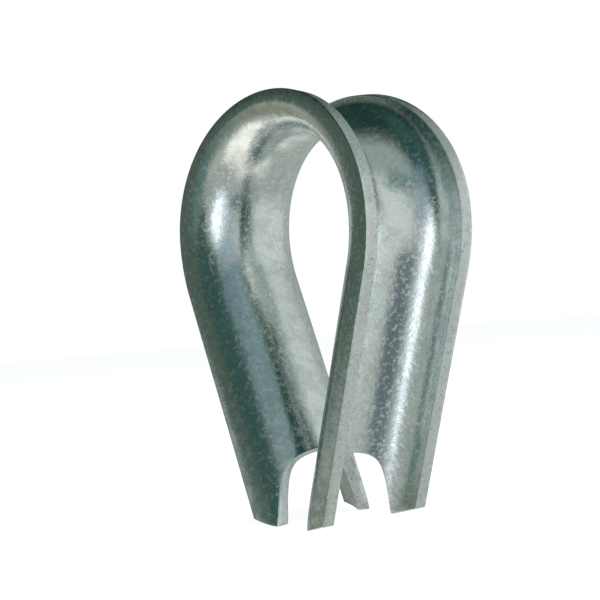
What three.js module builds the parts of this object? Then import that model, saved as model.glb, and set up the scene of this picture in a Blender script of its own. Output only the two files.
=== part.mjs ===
// A pressed steel wire rope thimble, the teardrop liner of a rope sling's eye.
// It is made here the way the real one is made: a flat blank with a notch in each end is rolled
// into a grooved channel and bent round into a teardrop, so it stays one piece of plate.
// Millimetres, +Z up. The eye's axis is Y, the crown is on top, and the origin is on the ground,
// midway between the four leg tips.

import * as THREE from 'three';

// Driving dimensions
const PLATE = 2.6;                // plate thickness
const EYE_RADIUS = 18;            // inside of the eye at the crown
const LEG_ANGLE = radians(21);    // lean of each leg from upright
const CROWN_HEIGHT = 56.9;        // height of the crown's centre above the ground, about
const HALF_WIDTH = 12.6;          // half the overall width across the two flanges
const ROUND_DEPTH = 10.8;         // depth of the channel's rounded bottom, outside
const FLANGE_DEPTH = 12;          // depth of the whole channel, from the eye to the rim
const CROWN_DRAW = 3.6;           // depth that the rims lose where they stretch over the crown
const CROWN_PINCH = 0.09;         // share of its width that the channel loses at those rims
const BLANK_HALF_WIDTH = 19.7;    // half the width of the flat blank
const STRAIGHT_SHARE = 1 / 16;    // outer share of that half width which stays a straight flange

// The notch in each end of the blank: a round-topped arch with flared sides
const NOTCH_TOP = 38.0;           // its top, measured down the leg from where the leg begins
const NOTCH_HALF_WIDTH = 9.4;     // where its sides would start if its corners were sharp
const NOTCH_FLARE = 2.9;          // how far down the leg a side runs for each unit across
const NOTCH_CORNER = 2.8;         // how far the corners are rounded
const NOTCH_TAPER = 0.5;          // how much each side closes in, for each unit through the plate

// The four tips, which stand on the ground with the corners next to the notch
const TIP_DEPTH = 6.5;            // depth of those corners, measured like the flange's depth
const TIP_RISE = 1.4;             // height of the outer corners, at the rims
const TIP_ROUND = 0.8;            // how far the corners next to the notch are rounded

// Facets
const CROWN_STEPS = 18;           // on each half of the crown
const LEG_STEPS = 6;              // on each leg
const ACROSS_STEPS = 32;          // across the blank, a whole number of them in the straight flange

const CROWN_TURN = Math.PI / 2 + LEG_ANGLE;    // turn from the top of the crown to a leg

function radians(degrees) {
  return degrees * Math.PI / 180;
}

// One side of the channel's outer face. across runs from 0 at the middle of the groove to 1 at the
// rim, and draw from 0 on the legs to 1 at the top of the crown. x is depth and y is half width.
function outerFace(across, draw) {
  const round = Math.min(across / (1 - STRAIGHT_SHARE), 1) * Math.PI / 2;
  const straight = Math.max(across - 1 + STRAIGHT_SHARE, 0) / STRAIGHT_SHARE;
  const depth = ROUND_DEPTH * (1 - Math.cos(round)) + (FLANGE_DEPTH - ROUND_DEPTH) * straight;
  const rimShare = depth / FLANGE_DEPTH;
  return new THREE.Vector2(
    depth - CROWN_DRAW * draw * rimShare,
    HALF_WIDTH * Math.sin(round) * (1 - CROWN_PINCH * draw * rimShare),
  );
}

// The same face moved through the plate towards the groove, square to the face.
function plateFace(across, draw, through) {
  const nudge = 1e-4;
  const side = Math.sign(across) || 1;
  const near = outerFace(Math.max(Math.abs(across) - nudge, 0), draw);
  const far = outerFace(Math.min(Math.abs(across) + nudge, 1), draw);
  const along = far.sub(near).normalize();
  if (across === 0) along.set(0, 1);
  const point = outerFace(Math.abs(across), draw);
  point.x += along.y * through;
  point.y -= along.x * through;
  point.y *= side;
  return point;
}

// How far down the leg the plate reaches: to the notch in the middle, to the ground at the tips.
function legLength(across, depth, through) {
  const beyond = Math.abs(across) * BLANK_HALF_WIDTH + NOTCH_TAPER * through - NOTCH_HALF_WIDTH;
  const notch = NOTCH_TOP + NOTCH_FLARE * (beyond + Math.hypot(beyond, NOTCH_CORNER)) / 2;
  const start = CROWN_HEIGHT + (EYE_RADIUS + depth) * Math.cos(CROWN_TURN);
  const rise = TIP_RISE * Math.max(depth - TIP_DEPTH, 0) / (FLANGE_DEPTH - TIP_DEPTH);
  const tip = (start - rise) / Math.cos(LEG_ANGLE);
  return (notch + tip - Math.hypot(notch - tip, TIP_ROUND)) / 2;
}

// Carries a point of the blank to its place in the bent thimble. along runs from -1 at one end of
// the blank to 1 at the other, across from -1 to 1, and through from 0 to the plate's thickness.
function form(along, across, through) {
  const steps = CROWN_STEPS + LEG_STEPS;
  const crownShare = Math.min(Math.abs(along) * steps / CROWN_STEPS, 1);
  const legShare = Math.max(Math.abs(along) * steps - CROWN_STEPS, 0) / LEG_STEPS;
  const turn = crownShare * CROWN_TURN;
  const draw = Math.max(Math.cos(turn), 0) ** 2;
  const face = plateFace(across, draw, through);
  const radius = EYE_RADIUS + face.x;
  const down = legShare * legLength(across, face.x, through);
  const x = radius * Math.sin(turn) - down * Math.sin(LEG_ANGLE);
  const z = CROWN_HEIGHT + radius * Math.cos(turn) - down * Math.cos(LEG_ANGLE);
  return new THREE.Vector3(x * (Math.sign(along) || 1), face.y, z);
}

function thimbleGeometry() {
  const blank = new THREE.BoxGeometry(2, 2, PLATE, 2 * (CROWN_STEPS + LEG_STEPS), ACROSS_STEPS, 1);
  const points = blank.getAttribute('position');
  for (let i = 0; i < points.count; i++) {
    const place = form(points.getX(i), points.getY(i), points.getZ(i) + PLATE / 2);
    points.setXYZ(i, place.x, place.y, place.z);
  }
  blank.computeBoundingBox();
  blank.translate(0, 0, -blank.boundingBox.min.z);
  blank.computeVertexNormals();
  return blank;
}

const zincPlate = new THREE.MeshStandardMaterial({ color: 0xa9b4b2, roughness: 0.35, metalness: 1 });

const thimble = new THREE.Mesh(thimbleGeometry(), zincPlate);
thimble.name = 'thimble';

const part = new THREE.Group();
part.add(thimble);

export default part;
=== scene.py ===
# %% [markdown]
# # A zinc-plated wire rope thimble
# A thimble lines the eye of a wire rope sling, so that the pin or hook doesn't crush the rope.
# This one is pressed from a single strip of steel: a flat blank, rolled into a channel, bent
# round into a teardrop and then zinc plated. The script follows the same steps in the same order.
# The measured model of the thimble is loaded first, and it fixes every size and place.

# %% Load the measured model
import math

import bmesh
import bpy
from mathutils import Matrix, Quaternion, Vector


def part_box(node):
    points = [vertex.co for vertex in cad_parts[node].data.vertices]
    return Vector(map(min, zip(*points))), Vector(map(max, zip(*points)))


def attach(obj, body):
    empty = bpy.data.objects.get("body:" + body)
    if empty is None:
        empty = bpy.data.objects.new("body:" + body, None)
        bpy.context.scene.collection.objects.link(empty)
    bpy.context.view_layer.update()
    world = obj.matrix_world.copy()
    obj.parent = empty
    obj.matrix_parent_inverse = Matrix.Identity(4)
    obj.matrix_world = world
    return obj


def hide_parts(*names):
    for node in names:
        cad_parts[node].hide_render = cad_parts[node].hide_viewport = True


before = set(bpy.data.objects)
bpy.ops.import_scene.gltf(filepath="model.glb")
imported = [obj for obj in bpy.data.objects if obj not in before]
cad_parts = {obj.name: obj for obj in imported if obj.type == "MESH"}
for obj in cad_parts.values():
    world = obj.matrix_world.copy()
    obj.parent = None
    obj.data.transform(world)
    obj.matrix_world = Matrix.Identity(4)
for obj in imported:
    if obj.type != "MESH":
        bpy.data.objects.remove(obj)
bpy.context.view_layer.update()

low, high = (Vector(corner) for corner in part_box("thimble"))
print("measured thimble, mm:", [round(side * 1000, 1) for side in high - low])

# %% [markdown]
# ## The camera
# The thimble is seen from its right and a little from below its middle, close enough for the two
# flanges to differ in size. A camera looks along its own -Z, so tracking that axis to the target
# aims it, and a turn about the same axis afterwards tilts the frame.

# %% Place the camera
TARGET = Vector((-0.0070, 0.0, 0.0431))
CAMERA_AZIMUTH = math.radians(52.85)
CAMERA_ELEVATION = math.radians(-1.44)
CAMERA_DISTANCE = 0.2488
CAMERA_TILT = math.radians(-4.65)
FOCAL_LENGTH_MM = 75.05
SENSOR_WIDTH_MM = 36
NEAR_LIMIT = 0.01

towards_camera = Vector((
    math.sin(CAMERA_AZIMUTH) * math.cos(CAMERA_ELEVATION),
    -math.cos(CAMERA_AZIMUTH) * math.cos(CAMERA_ELEVATION),
    math.sin(CAMERA_ELEVATION),
))
lens = bpy.data.cameras.new("lens")
lens.lens = FOCAL_LENGTH_MM
lens.sensor_width = SENSOR_WIDTH_MM
lens.clip_start = NEAR_LIMIT
camera = bpy.data.objects.new("camera", lens)
camera.location = TARGET + CAMERA_DISTANCE * towards_camera
aim = (-towards_camera).to_track_quat("-Z", "Y")
camera.rotation_euler = (aim @ Quaternion((0, 0, 1), CAMERA_TILT)).to_euler()
bpy.context.scene.collection.objects.link(camera)
bpy.context.scene.camera = camera
print("camera height above the ground, mm:", round(camera.location.z * 1000, 1))

# %% [markdown]
# ## Sizes of the plate
# These are the sizes that the real thimble is pressed to, in metres. Depth is measured outwards
# from the eye, so the web at the bottom of the groove has none and the rims have the most.

# %% Sizes
PLATE = 0.0026
EYE_RADIUS = 0.018
LEG_ANGLE = math.radians(21)
CROWN_TURN = math.radians(90) + LEG_ANGLE
HALF_WIDTH = high.y
ROUND_DEPTH = 0.0108
FLANGE_DEPTH = 0.012
CROWN_DRAW = 0.0036
CROWN_PINCH = 0.09
BLANK_HALF_WIDTH = 0.0197
STRAIGHT_SHARE = 1 / 16
crown_height = high.z - EYE_RADIUS - FLANGE_DEPTH + CROWN_DRAW
print("centre of the crown, mm above the ground:", round(crown_height * 1000, 2))

# %% [markdown]
# ## The blank
# The blank is a strip cut from plate. A grid gives its broad face, an extrusion gives it its
# thickness, and a few cuts through the thickness leave room for the marks of the shears. It
# could also start as a cube cut into slices, but the grid sets the spacing of its rows at once.
# It is made in shares of its size: X runs along it from -1 to 1, Y across it from -1 to 1, and Z
# through it from 0, the face that will look into the eye, to 1, the face inside the groove.

# %% Cut the blank
CROWN_ROWS = 64
LEG_ROWS = 56
ROWS_ACROSS = 96
CUTS_THROUGH = 4
ROWS_ALONG = 2 * (CROWN_ROWS + LEG_ROWS)

blank = bmesh.new()
bmesh.ops.create_grid(blank, x_segments=ROWS_ALONG, y_segments=ROWS_ACROSS, size=1)
thickness = bmesh.ops.extrude_face_region(blank, geom=blank.faces[:])
raised = [part for part in thickness["geom"] if isinstance(part, bmesh.types.BMVert)]
bmesh.ops.translate(blank, verts=raised, vec=(0, 0, 1))
uprights = [edge for edge in blank.edges if edge.verts[0].co.z != edge.verts[1].co.z]
bmesh.ops.subdivide_edges(blank, edges=uprights, cuts=CUTS_THROUGH, use_grid_fill=True)
bmesh.ops.recalc_face_normals(blank, faces=blank.faces)
print("faces in the blank:", len(blank.faces))

# %% [markdown]
# ## Marks of the shears
# Shears leave a plate edge that is smooth for the first third and torn for the rest. The part
# of the edge that each vertex lies on is written down now, while the blank is still flat and
# that is easy to tell, and the finish reads it later.

# %% Mark the sheared edges
RIM_SHARE = 0.9999

sheared = blank.verts.layers.float.new("sheared")
through_plate = blank.verts.layers.float.new("through_plate")
for vert in blank.verts:
    along_edge = max(abs(vert.co.x), abs(vert.co.y)) > RIM_SHARE
    vert[sheared] = 1.0 if along_edge else 0.0
    vert[through_plate] = vert.co.z
print("vertices on sheared edges:", sum(vert[sheared] > 0 for vert in blank.verts))

# %% [markdown]
# ## Rolling the channel
# Rollers turn the blank into a channel whose section is half an ellipse with a short straight
# flange at each side. Over the crown the rims stretch most, so they draw down towards the eye and
# lean in a little. The section is worked out for the face that looks into the eye, and the rest of
# the plate lies square to it.

# %% The section of the channel
SMALL_STEP = 1e-4


def outer_face(across, draw):
    round_part = min(across / (1 - STRAIGHT_SHARE), 1) * math.pi / 2
    straight_part = max(across - 1 + STRAIGHT_SHARE, 0) / STRAIGHT_SHARE
    depth = ROUND_DEPTH * (1 - math.cos(round_part)) + (FLANGE_DEPTH - ROUND_DEPTH) * straight_part
    rim_share = depth / FLANGE_DEPTH
    half_width = HALF_WIDTH * math.sin(round_part) * (1 - CROWN_PINCH * draw * rim_share)
    return Vector((depth - CROWN_DRAW * draw * rim_share, half_width))


def plate_point(across, draw, through):
    side = -1 if across < 0 else 1
    across = abs(across)
    near = outer_face(max(across - SMALL_STEP, 0), draw)
    far = outer_face(min(across + SMALL_STEP, 1), draw)
    slope = (far - near).normalized() if across > SMALL_STEP else Vector((0, 1))
    point = outer_face(across, draw) + Vector((slope.y, -slope.x)) * through
    return Vector((point.x, point.y * side))


print("rim of the channel, mm:", [round(size * 1000, 2) for size in outer_face(1, 0)])

# %% [markdown]
# ## The notch and the tips
# An arch is punched out of each end of the blank, which leaves two pointed tips on each leg. The
# punch's sides flare, and they close in a little towards the groove's face, as punched holes do.
# The tips are cropped so that the thimble stands on the corners next to the arch.

# %% The length of each leg
NOTCH_TOP = 0.0380
NOTCH_HALF_WIDTH = 0.0094
NOTCH_FLARE = 2.9
NOTCH_CORNER = 0.0028
NOTCH_TAPER = 0.5
TIP_DEPTH = 0.0065
TIP_RISE = 0.0014
TIP_ROUND = 0.0008


def leg_length(across, depth, through):
    beyond = abs(across) * BLANK_HALF_WIDTH + NOTCH_TAPER * through - NOTCH_HALF_WIDTH
    notch = NOTCH_TOP + NOTCH_FLARE * (beyond + math.hypot(beyond, NOTCH_CORNER)) / 2
    start = crown_height + (EYE_RADIUS + depth) * math.cos(CROWN_TURN)
    rise = TIP_RISE * max(depth - TIP_DEPTH, 0) / (FLANGE_DEPTH - TIP_DEPTH)
    tip = (start - rise) / math.cos(LEG_ANGLE)
    return (notch + tip - math.hypot(notch - tip, TIP_ROUND)) / 2


print("leg in the middle of the groove, mm:", round(leg_length(0, 0, 0) * 1000, 1))

# %% [markdown]
# ## Bending it round
# The channel is bent round a former into the teardrop. Every vertex of the blank moves to where
# that point of the steel ends up: first to its place in the section, then round the crown or
# down a leg.

# %% Bend the blank
def bend(co):
    rows = CROWN_ROWS + LEG_ROWS
    turn = min(abs(co.x) * rows / CROWN_ROWS, 1) * CROWN_TURN
    leg_share = max(abs(co.x) * rows - CROWN_ROWS, 0) / LEG_ROWS
    face = plate_point(co.y, max(math.cos(turn), 0) ** 2, co.z * PLATE)
    radius = EYE_RADIUS + face.x
    down = leg_share * leg_length(co.y, face.x, co.z * PLATE)
    x = radius * math.sin(turn) - down * math.sin(LEG_ANGLE)
    z = crown_height + radius * math.cos(turn) - down * math.cos(LEG_ANGLE)
    return Vector((-x if co.x < 0 else x, face.y, z))


for vert in blank.verts:
    vert.co = bend(vert.co)
lowest = min(vert.co.z for vert in blank.verts)
bmesh.ops.translate(blank, verts=blank.verts, vec=(0, 0, -lowest))
print("the tips moved to the ground by, mm:", round(-lowest * 1000, 3))

# %% [markdown]
# ## Softening the edges
# Shears round the corner they enter by and tumbling before plating takes off the burr, so no
# corner of the plate is sharp. The sharp edges are those where the faces on each side turn by
# more than the angle given. A vertex group and a Bevel modifier could do this too.

# %% Round the corners of the plate
SHARP_ANGLE = math.radians(40)
CORNER_SIZE = 0.00028
CORNER_STEPS = 3

corners = [edge for edge in blank.edges if edge.calc_face_angle(0) > SHARP_ANGLE]
bmesh.ops.bevel(
    blank, geom=corners, offset=CORNER_SIZE, segments=CORNER_STEPS, profile=0.5, affect="EDGES",
    material=-1, clamp_overlap=True,
)
for face in blank.faces:
    face.smooth = True
print("corners rounded:", len(corners), "faces:", len(blank.faces))

# %% Make the object
thimble_mesh = bpy.data.meshes.new("pressed_thimble")
blank.to_mesh(thimble_mesh)
blank.free()
thimble = bpy.data.objects.new("pressed_thimble", thimble_mesh)
bpy.context.scene.collection.objects.link(thimble)
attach(thimble, "root")
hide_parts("thimble")
print("triangles:", sum(len(face.vertices) - 2 for face in thimble_mesh.polygons))

# %% [markdown]
# ## Writing shaders as sums
# A finish is easier to read as sums than as a web of nodes. A `Wire` is one socket of a node, and
# its operators add the Math node that each sum needs. Every other node comes from
# `Nodes.add`, which takes the node's type, its settings and the values of its sockets.

# %% Two small classes for nodes
class Wire:
    def __init__(self, nodes, socket):
        self.nodes = nodes
        self.socket = socket

    def __add__(self, other):
        return self.nodes.math("ADD", self, other)

    def __radd__(self, other):
        return self.nodes.math("ADD", other, self)

    def __mul__(self, other):
        return self.nodes.math("MULTIPLY", self, other)

    def __rmul__(self, other):
        return self.nodes.math("MULTIPLY", other, self)

    def __truediv__(self, other):
        return self.nodes.math("DIVIDE", self, other)

    def __rtruediv__(self, other):
        return self.nodes.math("DIVIDE", other, self)


class Nodes:
    def __init__(self, owner):
        owner.use_nodes = True
        self.tree = owner.node_tree
        self.tree.nodes.clear()

    def add(self, kind, settings=None, inputs=None, output=0):
        node = self.tree.nodes.new(kind)
        for name, value in (settings or {}).items():
            setattr(node, name, value)
        for name, value in (inputs or {}).items():
            if isinstance(value, Wire):
                self.tree.links.new(value.socket, node.inputs[name])
            else:
                node.inputs[name].default_value = value
        return Wire(self, node.outputs[output]) if node.outputs else node

    def math(self, operation, *values):
        return self.add("ShaderNodeMath", {"operation": operation}, dict(enumerate(values)))

    def dot(self, first, second):
        settings = {"operation": "DOT_PRODUCT"}
        return self.add("ShaderNodeVectorMath", settings, {0: first, 1: second}, output=1)

    def between(self, value, start, end):
        ranges = {"Value": value, "From Min": start, "From Max": end}
        return self.add("ShaderNodeMapRange", {"interpolation_type": "SMOOTHSTEP"}, ranges)

    def blend(self, factor, first, second):
        settings = {"data_type": "RGBA", "clamp_factor": True}
        return self.add("ShaderNodeMix", settings, {0: factor, 6: first, 7: second}, output=2)


def colour(red, green, blue):
    return (red, green, blue, 1.0)

# %% [markdown]
# ## Zinc plate
# Bright zinc plate is a thin metal layer, so it is fully metallic and its colour is close to white
# with a trace of blue. It isn't even: the rolled steel under it is slightly wavy, the plating
# grows in a fine grain, and the clear chromate coat dries in patches that are duller than the
# rest. So the finish has four scales: waves of about 6 mm in the relief, duller patches of about
# 3 mm, a mottle of about a millimetre in colour, roughness and relief, and a grain of a quarter of
# that. Each is a noise, whose scale says how many of its lumps fit in a metre. The torn part of a
# sheared edge is rougher and pitted, and the tips are worn where the thimble stands on them.

# %% The zinc finish
WORN_TOP = 0.016
RELIEF_HEIGHT = 0.00035


def zinc_finish():
    finish = bpy.data.materials.new("bright_zinc_plate")
    nodes = Nodes(finish)
    place = nodes.add("ShaderNodeTexCoord", output=3)

    def cloud(scale, detail, roughness=0.5, distortion=0.0):
        inputs = {"Vector": place, "Scale": scale, "Detail": detail, "Roughness": roughness,
                  "Distortion": distortion}
        return nodes.add("ShaderNodeTexNoise", {"noise_dimensions": "3D"}, inputs)

    waves = cloud(170, 2)
    patches = cloud(330, 3, 0.6, 0.4)
    mottle = cloud(1100, 3, 0.65)
    grain = cloud(3800, 2, 0.6)
    pits = cloud(2300, 3, 0.6)
    edge = nodes.add("ShaderNodeAttribute", {"attribute_name": "sheared"}, output=2)
    through = nodes.add("ShaderNodeAttribute", {"attribute_name": "through_plate"}, output=2)
    torn = edge * nodes.between(through, 0.15, 0.35)
    height = nodes.add("ShaderNodeSeparateXYZ", None, {"Vector": place}, output=2)
    worn = nodes.between(height, WORN_TOP, 0.0) * nodes.between(patches, 0.35, 0.6)

    dull = nodes.between(patches, 0.42, 0.62)
    speck = nodes.between(mottle, 0.50, 0.64)
    pitted = nodes.between(pits, 0.50, 0.62)
    tone = nodes.blend(dull, colour(0.76, 0.81, 0.80), colour(0.66, 0.71, 0.69))
    tone = nodes.blend(speck * 0.8, tone, colour(0.96, 0.98, 1.0))
    tone = nodes.blend(nodes.between(grain, 0.46, 0.30) * 0.5, tone, colour(0.45, 0.50, 0.50))
    tone = nodes.blend(worn * pitted * 0.7, tone, colour(0.42, 0.43, 0.40))
    tone = nodes.blend(torn * 0.5, tone, colour(0.84, 0.85, 0.84))
    tone = nodes.blend(torn * pitted * (0.25 + speck * 0.55), tone, colour(0.36, 0.39, 0.37))

    gloss = 0.14 + dull * 0.07 + speck * 0.18 + torn * 0.25 + worn * 0.15
    relief = waves * 0.20 + mottle * 0.12 + grain * 0.014 + torn * pits * 0.25
    bump = {"Strength": 1.0, "Distance": RELIEF_HEIGHT, "Height": relief}
    surface = {
        "Base Color": tone,
        "Metallic": 1.0,
        "Roughness": gloss,
        "Normal": nodes.add("ShaderNodeBump", None, bump),
    }
    shader = nodes.add("ShaderNodeBsdfPrincipled", None, surface)
    nodes.add("ShaderNodeOutputMaterial", None, {"Surface": shader})
    return finish


thimble_mesh.materials.append(zinc_finish())
plating = thimble_mesh.materials[0]
print("finish:", plating.name, "with", len(plating.node_tree.nodes), "nodes")

# %% [markdown]
# ## The floor
# The thimble stands on a plain pale floor. The floor is a wide round sheet, so its edge is too far
# off to see, and a little glow of its own makes it as white as the backdrop. It doesn't show in
# the metal, where the studio's own panels are wanted instead.

# %% Lay the floor
FLOOR_RADIUS = 6.0
FLOOR_GREY = 0.60
FLOOR_GLOW = 0.85

floor_shape = bmesh.new()
bmesh.ops.create_circle(floor_shape, cap_ends=True, segments=96, radius=FLOOR_RADIUS)
floor_mesh = bpy.data.meshes.new("floor")
floor_shape.to_mesh(floor_mesh)
floor_shape.free()
floor = bpy.data.objects.new("floor", floor_mesh)
floor.visible_glossy = False
bpy.context.scene.collection.objects.link(floor)

paper = bpy.data.materials.new("white_paper")
paper_nodes = Nodes(paper)
sheet = {
    "Base Color": colour(FLOOR_GREY, FLOOR_GREY, FLOOR_GREY),
    "Roughness": 0.9,
    "Emission Color": colour(1, 1, 1),
    "Emission Strength": FLOOR_GLOW,
}
paper_shader = paper_nodes.add("ShaderNodeBsdfPrincipled", None, sheet)
paper_nodes.add("ShaderNodeOutputMaterial", None, {"Surface": paper_shader})
floor_mesh.materials.append(paper)
print("floor across, m:", 2 * FLOOR_RADIUS)

# %% [markdown]
# ## The studio
# Polished metal shows its surroundings, so the studio matters more to its look than any lamp.
# It is dark and greenish on the left, with a broad pale wall on the right and one tall bright
# window beside the camera. Each of these is a soft-edged oval panel in the world's shader, laid
# over the ones before it and placed by its direction from the thimble. A panel was put where some
# part of the metal mirrors it, which the notes between the panels say. Area lamps could do it too,
# but the world has no noise and no hard edges.

# %% Directions in the studio
def studio_direction(right, up):
    right, up = math.radians(right), math.radians(up)
    forward = Vector((math.sin(CAMERA_AZIMUTH), -math.cos(CAMERA_AZIMUTH), 0))
    sideways = Vector((math.cos(CAMERA_AZIMUTH), math.sin(CAMERA_AZIMUTH), 0))
    level = forward * math.cos(right) + sideways * math.sin(right)
    return level * math.cos(up) + Vector((0, 0, math.sin(up)))


print("straight at the camera is", [round(part, 2) for part in studio_direction(0, 0)])

# %% Hang the panels
world = bpy.data.worlds.new("studio")
bpy.context.scene.world = world
sky = Nodes(world)
view = sky.add("ShaderNodeTexCoord", output=0)


def panel(light, glow, right, up, wide, tall, soft=0.4):
    """Lay a panel over the light so far. Its place and half sizes are in degrees."""
    middle = studio_direction(right, up)
    level = studio_direction(right + 90, 0)
    angle = sky.math("ARCCOSINE", sky.dot(view, middle))
    sideways = sky.dot(view, level) * (1 / math.radians(wide))
    upwards = sky.dot(view, level.cross(middle)) * (1 / math.radians(tall))
    across = sky.math("SQRT", sideways * sideways + upwards * upwards)
    distance = across * angle / sky.math("SINE", angle)
    return sky.blend(sky.between(distance, 1, 1 - soft), light, colour(*glow))


# The room, a ceiling and a broad pale wall on the right, which light the web and the groove
light = colour(0.42, 0.46, 0.43)
light = panel(light, (0.33, 0.39, 0.36), right=60, up=72, wide=90, tall=44)
light = panel(light, (0.66, 0.7, 0.68), right=75, up=2, wide=66, tall=46)
# The dark left and upper left, which the flanges show
light = panel(light, (0.09, 0.118, 0.094), right=-110, up=50, wide=92, tall=60, soft=0.3)
light = panel(light, (0.018, 0.045, 0.04), right=-120, up=53, wide=78, tall=43)
light = panel(light, (0.03, 0.085, 0.075), right=-50, up=52, wide=40, tall=30, soft=0.5)
# A dim strip over the pale wall, beside the band down the left leg
light = panel(light, (0.15, 0.26, 0.25), right=40, up=38, wide=34, tall=9, soft=0.5)
# The low left, which shows where the flanges turn outwards
light = panel(light, (0.27, 0.28, 0.215), right=-105, up=-20, wide=60, tall=16, soft=0.5)
light = panel(light, (0.12, 0.21, 0.2), right=-76, up=-9, wide=32, tall=12, soft=0.5)
light = panel(light, (0.085, 0.125, 0.1), right=-95, up=5, wide=44, tall=10, soft=0.5)
# Shade beside the window, then the bluish band round the crown and down the left leg
light = panel(light, (0.045, 0.1, 0.09), right=-46, up=18, wide=30, tall=26, soft=0.5)
light = panel(light, (0.36, 0.46, 0.54), right=2, up=11, wide=24, tall=14, soft=0.6)
light = panel(light, (0.17, 0.27, 0.31), right=-6, up=34, wide=30, tall=10, soft=0.7)
# Pale light from behind and below, which fills the inside of the crown
light = panel(light, (0.98, 0.97, 0.92), right=-160, up=-46, wide=30, tall=24, soft=0.6)
light = panel(light, (0.66, 0.68, 0.66), right=-173, up=-18, wide=14, tall=18, soft=0.6)
light = panel(light, (0.95, 0.93, 0.88), right=0, up=-90, wide=34, tall=34, soft=0.6)
# The warm spot on the front of the crown
light = panel(light, (1.2, 1.16, 1.07), right=-108, up=-60, wide=36, tall=24)
# The dark stripes beside the bright bar in the groove
light = panel(light, (0.12, 0.16, 0.18), right=32, up=-38, wide=26, tall=10, soft=0.5)
light = panel(light, (0.06, 0.1, 0.085), right=-46, up=-3, wide=12, tall=16, soft=0.5)
# The window, which is that bright bar and the spot on the left leg
light = panel(light, (0.66, 0.72, 0.76), right=-10, up=-16, wide=24, tall=30, soft=0.5)
light = panel(light, (1.7, 1.8, 1.9), right=-14, up=-16, wide=11, tall=25)
# A dark patch behind, which the top of the rear flange shows
light = panel(light, (0.02, 0.06, 0.06), right=-172, up=28, wide=42, tall=30)
seen = sky.add("ShaderNodeLightPath", output=0)
backdrop = sky.blend(seen, light, colour(1.0, 1.0, 1.0))
sky_shader = sky.add("ShaderNodeBackground", None, {"Color": backdrop, "Strength": 1.0})
sky.add("ShaderNodeOutputWorld", None, {"Surface": sky_shader})
print("nodes in the studio:", len(sky.tree.nodes))

# %% [markdown]
# ## The lamp
# One wide round lamp hangs over the floor, so the thimble stands in a faint soft shadow. Bare
# metal has no colour of its own to light, so the lamp is kept out of the reflections and the
# thimble shows only the panels. The Standard view keeps the white of the floor white.

# %% Light the floor
LAMP_SIZE = 1.2
LAMP_WATTS = 6
LAMP_PLACE = (0.1, 0.1, 1.2)

ceiling = bpy.data.lights.new("ceiling_lamp", "AREA")
ceiling.shape = "DISK"
ceiling.size = LAMP_SIZE
ceiling.energy = LAMP_WATTS
ceiling_lamp = bpy.data.objects.new("ceiling_lamp", ceiling)
ceiling_lamp.location = LAMP_PLACE
ceiling_lamp.visible_glossy = False
bpy.context.scene.collection.objects.link(ceiling_lamp)
bpy.context.scene.view_settings.view_transform = "Standard"
print("lamps:", [lamp.name for lamp in bpy.data.lights])
